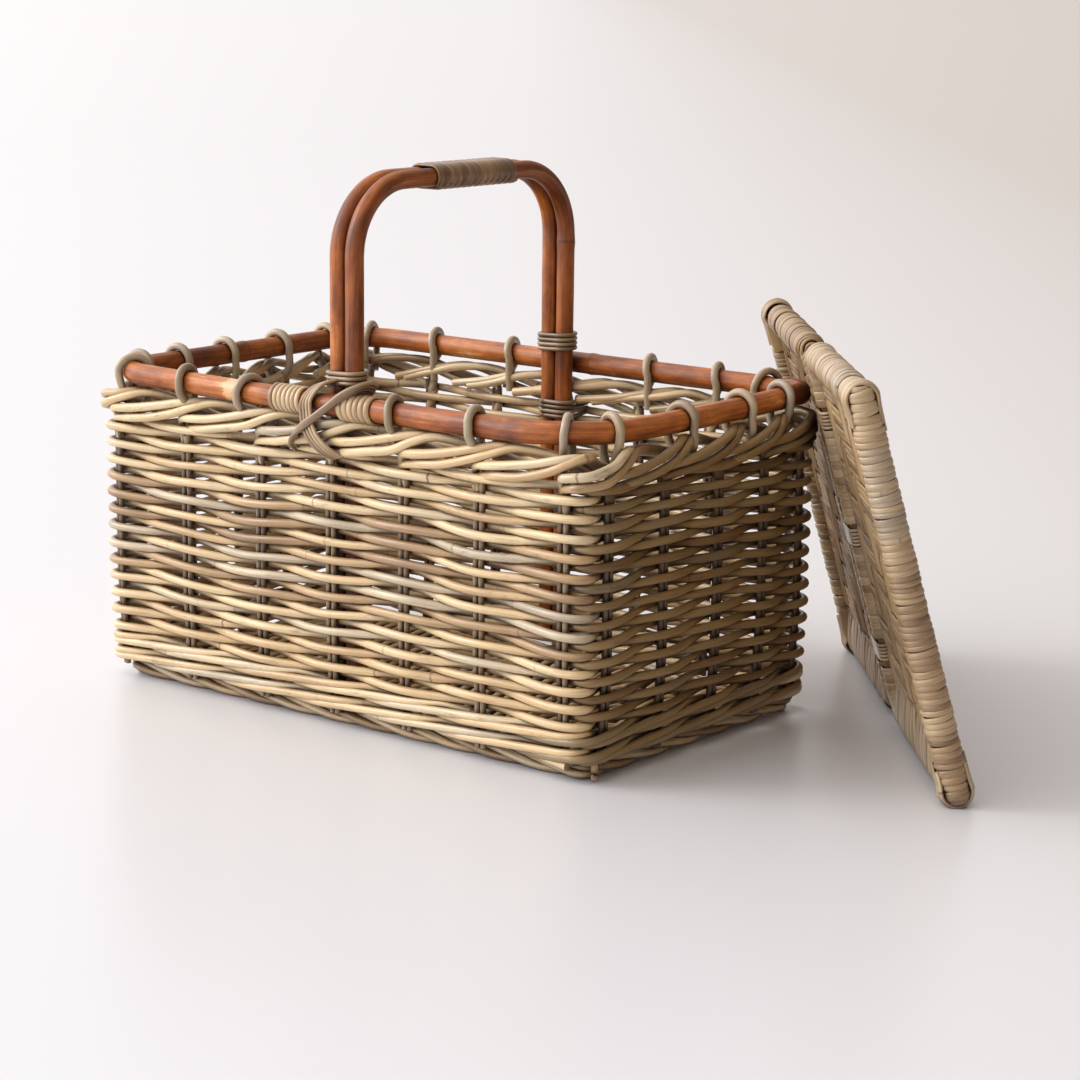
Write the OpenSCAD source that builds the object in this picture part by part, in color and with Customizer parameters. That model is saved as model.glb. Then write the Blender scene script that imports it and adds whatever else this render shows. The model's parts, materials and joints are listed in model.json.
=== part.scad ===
// Rectangular wicker basket with a fixed bow handle, and its separate two-flap
// plaited lid, which stands on its long edge and leans on the basket's corner.
// Millimetres, +Z up. The origin is the centre of the basket's footprint on the
// floor, and +X runs along the basket towards the end where the lid leans.

/* [Foot and base] */
// Length of the foot border on the floor
foot_l = 450; // [440:1:452]
// Width of the foot border on the floor
foot_w = 257; // [250:1:262]
// Height of the foot border
foot_h = 12; // [10:0.5:14]
// Outer corner radius of the foot border
foot_r = 14; // [14:1:24]
// Width of the foot border seen from below
foot_t = 13; // [10:0.5:16]
// Thickness of the woven base
base_t = 12; // [11:0.5:12]
// Diameter of a base stick
base_stick_d = 8; // [6:0.5:8.5]
// Distance between two base sticks
base_stick_pitch = 45; // [40:1:48]

/* [Walls] */
// Outer length of the wall
wall_l = 470; // [466:1:474]
// Outer width of the wall
wall_w = 282; // [280:1:283]
// Thickness of the weave
wall_t = 15; // [13:0.5:15]
// Outer corner radius of the wall
wall_r = 18; // [17:1:22]
// Outer corner radius of the wall at the corner where the lid leans
lid_corner_r = 30; // [30:1:34]
// Height where the three waling rows end and the plain weave begins
wale_top = 36; // [30:1:42]
// Height where the plain weave ends and the folded border begins
weave_top = 203; // [196:1:208]
// Height of the top of the folded border
border_top = 224; // [216:0.5:224]
// How far the waling stands proud of the wall
wale_proud = 1; // [0:0.5:1.5]
// How far the folded border stands proud of the wall
border_proud = 2; // [1:0.5:3]

/* [Stakes] */
// Diameter of one stake cane
stake_d = 4.5; // [3.5:0.1:4.7]

/* [Rim] */
// Diameter of the rim pole
rim_d = 16; // [14:0.5:16]
// Length of the rim hoop, pole centre to pole centre
rim_l = 443; // [440:1:446]
// Width of the rim hoop, pole centre to pole centre
rim_w = 271; // [270:0.5:272]
// Height of the rim pole's centre
rim_z = 235.3; // [235:0.1:237]
// Diameter of the cane that loops over the rim
loop_d = 6.5; // [5:0.25:6.5]

/* [Handle] */
// Diameter of a handle pole
handle_d = 13.5; // [12:0.5:13.5]
// Distance between the legs of the handle, centre to centre
handle_span = 237; // [234:0.5:237]
// Height of the handle's top bar, at the pole centre
handle_z = 387; // [360:1:400]
// Bend radius of the handle, at the pole centre
handle_r = 52; // [45:1:60]
// Height of the cut ends of the handle legs inside the basket
handle_foot_z = 20; // [14:1:60]
// Length of the grip binding
grip_l = 87; // [70:1:110]

/* [Lid] */
// Length of the closed lid
lid_l = 440; // [430:1:450]
// Width of the lid
lid_w = 291; // [285:1:298]
// Diameter of the wrapped outer edge
edge_d = 22; // [20:0.5:22]
// Diameter of the wrapped middle edges at the hinge
middle_d = 18; // [17:0.5:18]
// Diameter of the bare frame pole
lid_pole_d = 12; // [11:0.5:12]
// Bend radius of the frame pole, at the pole centre
lid_r = 22; // [20:1:24]
// Thickness of the plaited panel
panel_t = 9; // [7:0.5:9]
// Width of one set of hinge turns
hinge_band = 14; // [10:1:18]
// Tilt of the leaning lid from upright, in degrees
lid_lean = 15.4; // [15.4:0.1:18]
// Heading of the lid's long edge, in degrees from +X
lid_heading = 131.6; // [130:0.1:133]

/* [Hidden] */
$fn = 48;
clear = 0.3;           // gap between neighbouring solids
fit = 0.1;             // radial gap of a cane turn round a pole
wall_mid_x = wall_l / 2 - wall_t / 2;
wall_mid_y = wall_w / 2 - wall_t / 2;
base_stick_count = 5;  // sticks that run along the base
stake_gap = 0.4;       // between the two canes of a pair
stake_pair_w = 2 * stake_d + stake_gap;
channel_w = stake_pair_w + 2 * clear;
channel_t = stake_d + 2 * clear;
handle_half_gap = handle_d / 2 + 0.2;   // pole centre to the handle's centre plane
// Corner radii, counted round from the right back corner
wall_corner_r = [lid_corner_r, wall_r, wall_r, wall_r];
rim_corner_r = [18, 40, 34, 55];
rim_binding_t = 2;     // thickness of a strip coiled round the rim pole
binding_t = 2.8;       // thickness of the grip's strip binding
strand_d = 3.4;        // lashing strand
hinge_t = 2.6;         // thickness of a hinge turn
middle_s = middle_d / 2 + clear;        // hinge pole centre to the lid's middle
hinge_places = [58, 145.5, 233];         // up the lid from its lower edge
// Where the pairs of stakes stand along each wall
front_stake_places = [-221, -147, -71, -2, 67, 135, 208];
back_stake_places = [-208, -141, -72, -2, 68, 134, 196];
left_stake_places = [-104, -52, 0, 54, 108];
right_stake_places = [-110, -48, 15, 70, 118];
// Where the canes that tie the rim pole down pass over it, along each side
front_loop_places = [-144, -79, 59, 132];
back_loop_places = [-137, -58, 77, 140];
left_loop_places = [-69, -19, 40];
right_loop_places = [-22, 47];
// The same at the corners: a corner, an angle round it, and a slide on along the pole
corner_loop_places = [
    [0, 0, -20], [0, 90, 20], [1, 32, 0], [1, 90, 0],
    [2, 15, 0], [2, 60, 0], [3, 40, 0], [3, 72, 0]
];
// Where the strips coiled round the front of the rim pole begin and end
left_binding_ends = [-54, -27];
right_binding_ends = [12, 48];
lid_foot = [302.9, 149.9];              // point of the floor under the lid's middle

CANE = "#b39f7c";
STAKE = "#8f7d5f";
POLE = "#a5562b";
BINDING = "#a39478";
LID_WRAP = "#b3a07f";
LID_PLAIT = "#a8946c";

// ---------- shared shapes ----------

module rounded_block(l, w, r, z0, z1) {
    translate([0, 0, z0]) {
        translate([-l / 2 + r, -w / 2, 0]) cube([l - 2 * r, w, z1 - z0]);
        translate([-l / 2, -w / 2 + r, 0]) cube([l, w - 2 * r, z1 - z0]);
        for (sx = [-1, 1], sy = [-1, 1])
            translate([sx * (l / 2 - r), sy * (w / 2 - r), 0])
                cylinder(r = r, h = z1 - z0);
    }
}

// Row of n places, pitch apart, centred on zero
function row(n, pitch) = [for (i = [0:n - 1]) (i - (n - 1) / 2) * pitch];

// Rod of diameter d along X from x0 to x1
module rod_x(d, x0, x1) {
    translate([x0, 0, 0]) rotate([0, 90, 0]) cylinder(d = d, h = x1 - x0);
}

// Rod of diameter d along Y from y0 to y1
module rod_y(d, y0, y1) {
    translate([0, y0, 0]) rotate([-90, 0, 0]) cylinder(d = d, h = y1 - y0);
}

// Bent rod: part of a ring in the XY plane, from angle a over sweep
module bent_rod(d, r, a, sweep) {
    rotate([0, 0, a]) rotate_extrude(angle = sweep) translate([r, 0]) circle(d = d);
}

// Corner i, counted round from the right back corner
function corner_sign(i) = [[1, 1], [-1, 1], [-1, -1], [1, -1]][i];

// ---------- walls ----------
// A side is named by its sign: -1 is the front or the left, +1 the back or the right.

// A pair of stakes: its place, and the angle of its wall
function long_pairs(side) =
    [for (x = side < 0 ? front_stake_places : back_stake_places) [x, side * wall_mid_y, 0]];
function end_pairs(side) =
    [for (y = side < 0 ? left_stake_places : right_stake_places) [side * wall_mid_x, y, 90]];
all_pairs = concat(long_pairs(-1), long_pairs(1), end_pairs(-1), end_pairs(1));

module at_pairs(pairs) {
    for (pair = pairs)
        translate([pair[0], pair[1], 0]) rotate([0, 0, pair[2]]) children();
}

// Channels through a wall band for the stakes
module stake_channels(z0, z1) {
    at_pairs(all_pairs)
        translate([-channel_w / 2, -channel_t / 2, z0 - 1])
            cube([channel_w, channel_t, z1 - z0 + 2]);
}

module wall_corner(i, proud, z0, z1) {
    r = wall_corner_r[i];
    sign = corner_sign(i);
    translate([sign[0] * (wall_l / 2 - r), sign[1] * (wall_w / 2 - r), z0])
        rotate([0, 0, 90 * i])
            rotate_extrude(angle = 90)
                translate([r + proud - wall_t, 0]) square([wall_t, z1 - z0]);
}

// One long side of a wall band, with its two corners
module long_band(side, proud, z0, z1) {
    corners = side < 0 ? [2, 3] : [1, 0];
    x0 = -wall_l / 2 + wall_corner_r[corners[0]];
    x1 = wall_l / 2 - wall_corner_r[corners[1]];
    difference() {
        union() {
            translate([x0, side * (wall_mid_y + proud) - wall_t / 2, z0])
                cube([x1 - x0, wall_t, z1 - z0]);
            for (i = corners) wall_corner(i, proud, z0, z1);
        }
        stake_channels(z0, z1);
    }
}

// One end side of a wall band, between the corners of the long sides
module end_band(side, proud, z0, z1) {
    corners = side < 0 ? [2, 1] : [3, 0];
    y0 = -wall_w / 2 + wall_corner_r[corners[0]] + clear;
    y1 = wall_w / 2 - wall_corner_r[corners[1]] - clear;
    difference() {
        translate([side * (wall_mid_x + proud) - wall_t / 2, y0, z0])
            cube([wall_t, y1 - y0, z1 - z0]);
        stake_channels(z0, z1);
    }
}

module long_waling(side) {
    color(CANE) long_band(side, wale_proud, foot_h + clear, wale_top - clear);
}

module end_waling(side) {
    color(CANE) end_band(side, wale_proud, foot_h + clear, wale_top - clear);
}

module long_weave(side) {
    color(CANE) long_band(side, 0, wale_top, weave_top - clear);
}

module end_weave(side) {
    color(CANE) end_band(side, 0, wale_top, weave_top - clear);
}

module long_border(side) {
    color(CANE) long_band(side, border_proud, weave_top, border_top);
}

module end_border(side) {
    color(CANE) end_band(side, border_proud, weave_top, border_top);
}

module stakes(pairs) {
    color(STAKE)
        at_pairs(pairs)
            for (s = [-1, 1])
                translate([s * (stake_d + stake_gap) / 2, 0, foot_h + clear])
                    cylinder(d = stake_d, h = border_top - clear - foot_h - clear);
}

// ---------- base ----------

module foot_border() {
    color(CANE) difference() {
        rounded_block(foot_l, foot_w, foot_r, 0, foot_h);
        rounded_block(foot_l - 2 * foot_t, foot_w - 2 * foot_t, foot_r - foot_t, -1, foot_h + 1);
    }
}

base_l = foot_l - 2 * foot_t - 2 * clear;
base_w = foot_w - 2 * foot_t - 2 * clear;
stick_end_gap = 8;     // woven cover past a stick's cut end

module base_weave() {
    pocket = base_stick_d + 2 * clear;
    color(CANE) difference() {
        rounded_block(base_l, base_w, foot_r - foot_t, 0, base_t);
        for (y = row(base_stick_count, base_stick_pitch))
            translate([-base_l / 2 + stick_end_gap - clear, y - pocket / 2, (base_t - pocket) / 2])
                cube([base_l - 2 * stick_end_gap + 2 * clear, pocket, pocket]);
    }
}

module base_sticks() {
    color(STAKE)
        for (y = row(base_stick_count, base_stick_pitch))
            translate([0, y, base_t / 2])
                rod_x(base_stick_d, -base_l / 2 + stick_end_gap, base_l / 2 - stick_end_gap);
}

// ---------- rim ----------

// Centre of the rim hoop's bend at corner i
function corner_centre(i) = [
    corner_sign(i)[0] * (rim_l / 2 - rim_corner_r[i]),
    corner_sign(i)[1] * (rim_w / 2 - rim_corner_r[i]),
    rim_z
];

module rim_pole() {
    color(POLE) union() {
        for (i = [0:3])
            translate(corner_centre(i)) bent_rod(rim_d, rim_corner_r[i], 90 * i, 90);
        translate([0, rim_w / 2, rim_z])
            rod_x(rim_d, corner_centre(1)[0], corner_centre(0)[0]);
        translate([0, -rim_w / 2, rim_z])
            rod_x(rim_d, corner_centre(2)[0], corner_centre(3)[0]);
        translate([rim_l / 2, 0, rim_z])
            rod_y(rim_d, corner_centre(3)[1], corner_centre(0)[1]);
        translate([-rim_l / 2, 0, rim_z])
            rod_y(rim_d, corner_centre(2)[1], corner_centre(1)[1]);
    }
}

loop_r = rim_d / 2 + clear + loop_d / 2;

// Arch of a cane over a pole that runs along X, with its two legs
module over_rim(d, r, outer_leg, inner_leg) {
    rotate([90, 0, 90]) bent_rod(d, r, 0, 180);
    translate([0, r, -inner_leg]) cylinder(d = d, h = inner_leg);
    translate([0, -r, -outer_leg]) cylinder(d = d, h = outer_leg);
}

loop_leg = rim_z - border_top - clear;

module rim_loop() {
    over_rim(loop_d, loop_r, loop_leg, loop_leg);
}

module long_rim_loops(side, places) {
    color(BINDING)
        for (x = places)
            translate([x, side * rim_w / 2, rim_z]) rim_loop();
}

module end_rim_loops(side, places) {
    color(BINDING)
        for (y = places)
            translate([side * rim_l / 2, y, rim_z]) rotate([0, 0, 90]) rim_loop();
}

// Each place is a corner, an angle round it, and a slide on along the pole
module corner_rim_loops() {
    color(BINDING)
        for (place = corner_loop_places)
            translate(corner_centre(place[0]))
                rotate([0, 0, 90 * place[0] + place[1]])
                    translate([rim_corner_r[place[0]], place[2], 0])
                        rotate([0, 0, 90]) rim_loop();
}

// ---------- handle ----------

module handle_pole(side) {
    half = handle_span / 2;
    color(POLE) translate([side * handle_half_gap, 0, 0]) {
        for (s = [-1, 1])
            translate([0, s * half, handle_foot_z])
                cylinder(d = handle_d, h = handle_z - handle_r - handle_foot_z);
        for (s = [-1, 1])
            translate([0, s * (half - handle_r), handle_z - handle_r])
                rotate([90, 0, 90]) bent_rod(handle_d, handle_r, s > 0 ? 0 : 90, 90);
        translate([0, 0, handle_z]) rod_y(handle_d, -half + handle_r, half - handle_r);
    }
}

// Long-round outline round the two handle poles, seen along the poles
module pair_outline(r) {
    square([2 * handle_half_gap, 2 * r], center = true);
    for (s = [-1, 1]) translate([s * handle_half_gap, 0]) circle(r = r);
}

module grip_binding() {
    inner = handle_d / 2 + fit;
    middle_y = 7.5;
    color(BINDING)
        translate([0, middle_y + grip_l / 2, handle_z])
            rotate([90, 0, 0])
                linear_extrude(grip_l)
                    difference() {
                        pair_outline(inner + binding_t);
                        pair_outline(inner);
                    }
}

// One turn of a lashing strand round both handle poles, centred on the origin
module pair_turn() {
    r = handle_d / 2 + fit + strand_d / 2;
    for (s = [-1, 1]) {
        translate([s * handle_half_gap, 0, 0])
            bent_rod(strand_d, r, s > 0 ? -90 : 90, 180);
        translate([0, s * r, 0]) rod_x(strand_d, -handle_half_gap, handle_half_gap);
    }
}

strand_pitch = strand_d + 0.2;
lashing_z = rim_z + rim_d / 2 + strand_d / 2 + 1;

module front_cross_lashing() {
    strand_r = rim_d / 2 + clear + strand_d / 2;
    outer_end = 28;            // how far a strand runs down outside the border
    cross_lashing_x = -24.2;   // first of the strands over the rim, beside the left leg
    color(STAKE) {
        for (i = [0:2])
            translate([cross_lashing_x + i * strand_pitch, -rim_w / 2, rim_z])
                over_rim(strand_d, strand_r, outer_end, loop_leg);
        for (i = [0:2])
            translate([0, -handle_span / 2, lashing_z + i * strand_pitch]) pair_turn();
    }
}

module rim_binding(ends) {
    inner = rim_d / 2 + fit;
    color(BINDING)
        translate([0, -rim_w / 2, rim_z])
            difference() {
                rod_x(2 * (inner + rim_binding_t), ends[0], ends[1]);
                rod_x(2 * inner, ends[0] - 1, ends[1] + 1);
            }
}

module back_upper_lashing() {
    color(STAKE)
        for (i = [0:3])
            translate([0, handle_span / 2, lashing_z + i * strand_pitch]) pair_turn();
}

// Turns that hold the back legs to the wall, open where they enter the weave
module back_lower_lashing() {
    r = handle_d / 2 + fit + strand_d / 2;
    low_z = 196;
    color(STAKE)
        for (i = [0:3])
            translate([0, handle_span / 2, low_z + i * strand_pitch]) {
                for (s = [-1, 1]) {
                    translate([s * handle_half_gap, 0, 0])
                        bent_rod(strand_d, r, s > 0 ? -90 : 180, 90);
                    translate([s * (handle_half_gap + r), 0, 0])
                        rod_y(strand_d, 0, wall_w / 2 - wall_t - clear - handle_span / 2);
                }
                translate([0, -r, 0]) rod_x(strand_d, -handle_half_gap, handle_half_gap);
            }
}

// ---------- lid ----------
// Flat lid: x along the long edge from its middle, y up from the lower long
// edge, z through the thickness, away from the basket. The far flap is on +x.

edge_r = edge_d / 2;
end_x = lid_l / 2 - edge_r;     // frame pole centre at the outer end
low_y = edge_r;
high_y = lid_w - edge_r;

module lean_lid() {
    translate([lid_foot[0], lid_foot[1], edge_r * (1 - cos(lid_lean))])
        rotate([0, 0, lid_heading])
            rotate([90 - lid_lean, 0, 0])
                children();
}

// Side -1 is the near flap and +1 the far flap
module place_flap(side) {
    lean_lid() mirror([side < 0 ? 1 : 0, 0, 0]) children();
}

// Parts of the frame: a pole or a wrap of diameter d round it
module frame_end(d) {
    translate([end_x, 0, 0]) rod_y(d, low_y + lid_r, high_y - lid_r);
    translate([end_x - lid_r, high_y - lid_r, 0]) bent_rod(d, lid_r, 0, 90);
    translate([end_x - lid_r, low_y + lid_r, 0]) bent_rod(d, lid_r, 270, 90);
}

module frame_long(d, y) {
    translate([0, y, 0]) rod_x(d, middle_s + lid_r, end_x - lid_r);
}

module frame_middle(d) {
    translate([middle_s, 0, 0]) rod_y(d, low_y + lid_r, high_y - lid_r);
    translate([middle_s + lid_r, high_y - lid_r, 0]) bent_rod(d, lid_r, 90, 90);
    translate([middle_s + lid_r, low_y + lid_r, 0]) bent_rod(d, lid_r, 180, 90);
}

wrap_bore = lid_pole_d + 2 * fit;

module flap_pole(side) {
    color(POLE) place_flap(side) union() {
        frame_end(lid_pole_d);
        frame_long(lid_pole_d, low_y);
        frame_long(lid_pole_d, high_y);
        frame_middle(lid_pole_d);
    }
}

module flap_end_wrap(side) {
    color(LID_WRAP) place_flap(side) difference() {
        frame_end(edge_d);
        frame_end(wrap_bore);
    }
}

module flap_long_wrap(side, y) {
    color(LID_WRAP) place_flap(side) difference() {
        frame_long(edge_d, y);
        translate([0, y, 0]) rod_x(wrap_bore, middle_s, end_x);
    }
}

module flap_middle_wrap(side) {
    half_gap = hinge_band / 2 + clear;
    color(LID_WRAP) place_flap(side) difference() {
        frame_middle(middle_d);
        frame_middle(wrap_bore);
        for (y = hinge_places)
            translate([middle_s - middle_d, y - half_gap, -middle_d])
                cube([2 * middle_d, 2 * half_gap, 2 * middle_d]);
    }
}

module flap_panel(side) {
    x0 = middle_s + middle_d / 2 + clear;
    x1 = end_x - edge_r - clear;
    y0 = low_y + edge_r + clear;
    y1 = high_y - edge_r - clear;
    panel_r = 14;
    color(LID_PLAIT) place_flap(side)
        translate([(x0 + x1) / 2, (y0 + y1) / 2, 0])
            rounded_block(x1 - x0, y1 - y0, panel_r, -panel_t / 2, panel_t / 2);
}

// Cane turns round both middle poles: tight on the near one, free on the far one
module hinge_turns() {
    bore = lid_pole_d / 2 + fit;
    color(BINDING) lean_lid()
        for (y = hinge_places)
            translate([0, y + hinge_band / 2, 0])
                rotate([90, 0, 0])
                    difference() {
                        union() {
                            for (s = [-1, 1])
                                translate([s * middle_s, 0, 0])
                                    cylinder(r = bore + hinge_t, h = hinge_band);
                            translate([-middle_s, -bore / 2, 0])
                                cube([2 * middle_s, bore, hinge_band]);
                        }
                        for (s = [-1, 1])
                            translate([s * middle_s, 0, -1])
                                cylinder(r = bore, h = hinge_band + 2);
                    }
}

// ---------- parts ----------

base_sticks();
base_weave();
foot_border();
stakes(long_pairs(-1));  // front_stakes
stakes(long_pairs(1));  // back_stakes
stakes(end_pairs(-1));  // left_stakes
stakes(end_pairs(1));  // right_stakes
long_waling(-1);  // front_waling
long_waling(1);  // back_waling
end_waling(-1);  // left_waling
end_waling(1);  // right_waling
long_weave(-1);  // front_weave
long_weave(1);  // back_weave
end_weave(-1);  // left_weave
end_weave(1);  // right_weave
long_border(-1);  // front_border
long_border(1);  // back_border
end_border(-1);  // left_border
end_border(1);  // right_border
rim_pole();
long_rim_loops(-1, front_loop_places);  // front_rim_loops
long_rim_loops(1, back_loop_places);  // back_rim_loops
end_rim_loops(-1, left_loop_places);  // left_rim_loops
end_rim_loops(1, right_loop_places);  // right_rim_loops
corner_rim_loops();
handle_pole(-1);  // handle_pole_left
handle_pole(1);  // handle_pole_right
grip_binding();
front_cross_lashing();
rim_binding(left_binding_ends);  // front_rim_binding_left
rim_binding(right_binding_ends);  // front_rim_binding_right
back_upper_lashing();
back_lower_lashing();
flap_pole(-1);  // near_flap_pole
flap_long_wrap(-1, high_y);  // near_flap_top_wrap
flap_long_wrap(-1, low_y);  // near_flap_bottom_wrap
flap_end_wrap(-1);  // near_flap_end_wrap
flap_middle_wrap(-1);  // near_flap_middle_wrap
flap_panel(-1);  // near_flap_panel
flap_pole(1);  // far_flap_pole
flap_long_wrap(1, high_y);  // far_flap_top_wrap
flap_long_wrap(1, low_y);  // far_flap_bottom_wrap
flap_end_wrap(1);  // far_flap_end_wrap
flap_middle_wrap(1);  // far_flap_middle_wrap
flap_panel(1);  // far_flap_panel
hinge_turns();
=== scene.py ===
"""Wicker basket with a bow handle, and the separate two-flap plaited lid that leans on it.

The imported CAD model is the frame. Each woven, bound or bent CAD solid is replaced by a piece
made of separate canes, strips or poles. Points are in millimetres until the mesh is written.
"""

import json
import math

import bpy
import numpy as np
from mathutils import Matrix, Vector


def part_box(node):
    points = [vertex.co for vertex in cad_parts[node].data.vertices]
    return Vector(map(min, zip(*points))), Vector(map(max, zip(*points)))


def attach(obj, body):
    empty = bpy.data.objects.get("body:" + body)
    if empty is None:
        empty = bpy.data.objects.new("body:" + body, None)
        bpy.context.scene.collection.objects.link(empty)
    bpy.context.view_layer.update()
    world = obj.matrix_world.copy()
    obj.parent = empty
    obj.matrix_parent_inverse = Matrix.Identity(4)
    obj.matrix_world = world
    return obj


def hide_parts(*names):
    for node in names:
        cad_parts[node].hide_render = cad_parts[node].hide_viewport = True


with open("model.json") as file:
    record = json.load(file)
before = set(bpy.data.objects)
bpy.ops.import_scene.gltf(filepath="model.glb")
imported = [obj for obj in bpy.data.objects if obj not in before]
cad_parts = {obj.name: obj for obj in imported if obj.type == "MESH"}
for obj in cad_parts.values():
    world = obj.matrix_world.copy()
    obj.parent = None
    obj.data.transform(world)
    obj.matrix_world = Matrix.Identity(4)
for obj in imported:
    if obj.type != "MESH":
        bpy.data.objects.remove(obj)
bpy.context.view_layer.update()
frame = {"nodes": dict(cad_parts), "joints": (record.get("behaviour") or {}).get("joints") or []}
rng = np.random.default_rng(11)

MM = 0.001
UP = np.array([0.0, 0.0, 1.0])
KNOT_PERIOD = 430.0        # distance between two knots of a cane
STEP = 3.0                 # distance between two rings of a swept cane


# ---------- lines ----------

def unit(v):
    v = np.asarray(v, float)
    return v / np.linalg.norm(v, axis=-1, keepdims=True)


def columns(*parts):
    """Columns side by side. A part that is one number fills its column."""
    rows = max(len(np.atleast_1d(part)) for part in parts)
    return np.column_stack([part if np.ndim(part) else np.full(rows, part) for part in parts])


def box_mm(node):
    low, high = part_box(node)
    return np.array(low) / MM, np.array(high) / MM


def even_line(line, step=STEP):
    """The same line in even steps."""
    line = np.asarray(line, float)
    gaps = np.linalg.norm(np.diff(line, axis=0), axis=1)
    at = np.concatenate([[0], np.cumsum(gaps)])
    wanted = np.linspace(0, at[-1], max(4, math.ceil(at[-1] / step) + 1))
    return np.stack([np.interp(wanted, at, line[:, k]) for k in range(line.shape[1])], axis=1)


def smooth_line(points, step=STEP):
    """Catmull-Rom line through the points, in even steps."""
    p = np.asarray(points, float)
    p = np.vstack([2 * p[0] - p[1], p, 2 * p[-1] - p[-2]])
    u = np.linspace(0, 1, 17)[:-1, None]
    pieces = []
    for a, b, c, d in zip(p, p[1:], p[2:], p[3:]):
        pieces.append(0.5 * (2 * b + (c - a) * u + (2 * a - 5 * b + 4 * c - d) * u**2
                             + (3 * b - a - 3 * c + d) * u**3))
    return even_line(np.vstack(pieces + [p[-2:-1]]), step)


def ease(x):
    """0 below 0, 1 above 1, and smooth between."""
    x = np.clip(x, 0, 1)
    return x * x * (3 - 2 * x)


class RoundedLoop:
    """Rounded rectangle walked anticlockwise from the left end of its front side.
    Corner radii run from the right front corner round to the left front one."""

    def __init__(self, half_x, half_y, radii):
        line = []
        for k, ((sx, sy), r) in enumerate(zip([(1, -1), (1, 1), (-1, 1), (-1, -1)], radii)):
            turn = np.radians(90 * (k - 1) + np.linspace(0, 90, 46))
            out = columns(np.cos(turn), np.sin(turn))
            centre = np.array([sx * (half_x - r), sy * (half_y - r)])
            line.append(np.hstack([centre + r * out, out]))
        line = np.vstack([line[-1][-1:]] + line)
        self.line = even_line(line, 0.5)
        gaps = np.linalg.norm(np.diff(self.line[:, :2], axis=0), axis=1)
        self.s = np.concatenate([[0], np.cumsum(gaps)])
        self.length = self.s[-1]

    def at(self, s):
        """Point and outward normal, in the floor plane, at distance s along the loop."""
        s = np.mod(s, self.length)
        p, n = (np.column_stack([np.interp(s, self.s, self.line[:, k]) for k in ks])
                for ks in ((0, 1), (2, 3)))
        return p, unit(n)

    def find(self, x, y):
        return self.s[np.argmin(np.hypot(self.line[:, 0] - x, self.line[:, 1] - y))]


# ---------- swept canes and strips ----------

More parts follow.
